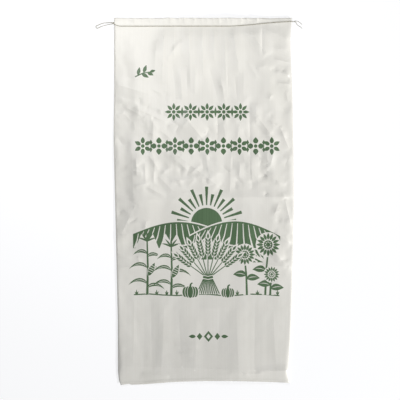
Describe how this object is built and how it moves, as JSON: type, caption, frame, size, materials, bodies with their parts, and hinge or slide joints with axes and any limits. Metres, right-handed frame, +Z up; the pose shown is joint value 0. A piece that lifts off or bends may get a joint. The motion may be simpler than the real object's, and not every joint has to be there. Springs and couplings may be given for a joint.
{
  "type": "woven polypropylene sack",
  "caption": "Flat, empty woven polypropylene sack lying on its back: a creased seamless tube, sewn across the head with loose thread tails and open at the mouth.",
  "frame": {"origin": "middle of the sack's footprint on the floor, thread tails left out", "axes": "+X across the sack to the right of its printed front, +Y along it from the open mouth to the sewn head, +Z up out of the printed front"},
  "size_m": [0.5862, 1.04, 0.0164],
  "materials": {
    "woven_cloth": "cream woven polypropylene tape, slightly shiny, printed in one green ink on the front",
    "sewing_thread": "dull grey-brown spun sewing thread"
  },
  "bodies": {
    "root": {"woven_sack": "woven_cloth", "seam_needle_thread": "sewing_thread", "seam_looper_thread": "sewing_thread", "tail_knot": "sewing_thread", "left_thread_tail": "sewing_thread", "right_needle_end": "sewing_thread", "right_looper_end": "sewing_thread"}
  },
  "joints": []
}
